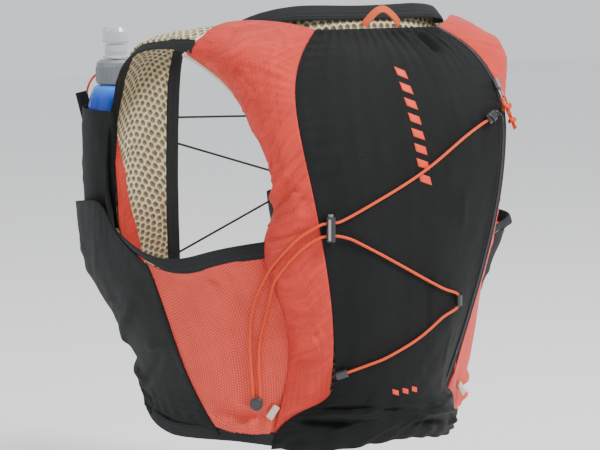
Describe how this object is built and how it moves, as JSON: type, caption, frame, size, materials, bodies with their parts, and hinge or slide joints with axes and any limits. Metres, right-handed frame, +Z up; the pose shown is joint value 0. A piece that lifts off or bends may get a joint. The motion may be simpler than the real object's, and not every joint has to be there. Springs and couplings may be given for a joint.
{
  "type": "running vest pack",
  "caption": "Close-fitting running vest with a zipped back pocket, stretch front pockets, soft flasks, a bungee with a cord lock and chest cords.",
  "frame": {"origin": "midway between the undersides of the two shoulder straps, where the vest rests on the wearer's shoulders", "axes": "+Z up, the wearer faces -Y, +X is the wearer's left"},
  "size_m": [0.3997, 0.3803, 0.3662],
  "materials": {
    "coral_ripstop": "thin coral red ripstop, slightly glossy",
    "black_stretch": "matt black stretch woven cloth",
    "black_binding": "matt black elastic tape",
    "beige_spacer_mesh": "beige spacer mesh with round holes",
    "orange_cord": "braided orange elastic",
    "black_moulding": "black moulded plastic",
    "zip_metal": "dark grey metal",
    "blue_flask": "soft blue film, part clear",
    "smoke_plastic": "smoke grey, part clear",
    "clear_silicone": "clear silicone"
  },
  "bodies": {
    "vest": {"armhole_binding_left": "black_binding", "armhole_binding_right": "black_binding", "back_lining": "beige_spacer_mesh", "back_shell": "black_stretch", "bungee": "orange_cord", "chest_cord_lower": "black_moulding", "chest_cord_middle": "black_moulding", "chest_cord_upper": "black_moulding", "chest_stop_lower_left": "black_moulding", "chest_stop_lower_right": "black_moulding", "chest_stop_middle_left": "black_moulding", "chest_stop_middle_right": "black_moulding", "chest_stop_upper_left": "black_moulding", "chest_stop_upper_right": "black_moulding", "cord_anchor_lower": "black_moulding", "cord_end": "black_moulding", "cord_hook_upper": "black_moulding", "cord_lock_body": "black_moulding", "cord_loop": "black_moulding", "flask_pocket_left": "black_stretch", "flask_pocket_right": "black_stretch", "flask_retainer_left": "orange_cord", "flask_retainer_right": "orange_cord", "front_binding_left": "black_binding", "front_binding_right": "black_binding", "front_gusset_left": "coral_ripstop", "front_gusset_right": "coral_ripstop", "front_panel_left": "beige_spacer_mesh", "front_panel_right": "beige_spacer_mesh", "hang_loop": "orange_cord", "hem_binding_left": "black_binding", "hem_binding_right": "black_binding", "lower_pocket_left": "black_stretch", "lower_pocket_right": "black_stretch", "neck_binding": "black_binding", "pocket_tab_left": "black_binding", "pocket_tab_right": "black_binding", "side_panel_left": "coral_ripstop", "side_panel_right": "coral_ripstop", "side_tab_left": "beige_spacer_mesh", "side_tab_right": "beige_spacer_mesh", "yoke_left": "coral_ripstop", "yoke_right": "coral_ripstop", "zip_tape": "black_binding"},
    "flask_left": {"flask_body_left": "blue_flask"},
    "cap_left": {"flask_cap_left": "smoke_plastic", "valve_spout_left": "clear_silicone"},
    "valve_left": {"bite_valve_left": "clear_silicone"},
    "flask_right": {"flask_body_right": "blue_flask"},
    "cap_right": {"flask_cap_right": "smoke_plastic", "valve_spout_right": "clear_silicone"},
    "valve_right": {"bite_valve_right": "clear_silicone"},
    "zip_slider": {"zip_slider": "zip_metal"},
    "zip_puller": {"zip_puller": "zip_metal", "zip_pull_cord": "orange_cord"},
    "lock_button": {"cord_lock_button": "smoke_plastic"}
  },
  "joints": [
    {"name": "flask_lift_left", "type": "slide", "parent": "vest", "child": "flask_left", "axis": [0, 0, 1], "range_m": [0, 0.1], "deforming": ["flask_retainer_left"]},
    {"name": "cap_turn_left", "type": "hinge", "parent": "flask_left", "child": "cap_left", "pos_m": [0.1035, -0.15, -0.03], "axis": [0, 0, 1], "range_deg": [0, 360]},
    {"name": "valve_pull_left", "type": "slide", "parent": "cap_left", "child": "valve_left", "axis": [0, 0, 1], "range_m": [0, 0.004]},
    {"name": "flask_lift_right", "type": "slide", "parent": "vest", "child": "flask_right", "axis": [0, 0, 1], "range_m": [0, 0.1], "deforming": ["flask_retainer_right"]},
    {"name": "cap_turn_right", "type": "hinge", "parent": "flask_right", "child": "cap_right", "pos_m": [-0.1035, -0.15, -0.03], "axis": [0, 0, 1], "range_deg": [0, 360]},
    {"name": "valve_pull_right", "type": "slide", "parent": "cap_right", "child": "valve_right", "axis": [0, 0, 1], "range_m": [0, 0.004]},
    {"name": "zip_slide", "type": "slide", "parent": "vest", "child": "zip_slider", "axis": [-0.162, 0.3887, -0.907], "range_m": [0, 0.02]},
    {"name": "puller_swing", "type": "hinge", "parent": "zip_slider", "child": "zip_puller", "pos_m": [-0.10096, 0.15011, -0.0449], "axis": [0.8985, 0.4382, 0.0273], "range_deg": [0, 105]},
    {"name": "lock_button_press", "type": "slide", "parent": "vest", "child": "lock_button", "axis": [0, 0, -1], "range_m": [0, 0.0018], "stiffness_N_per_m": 600}
  ]
}
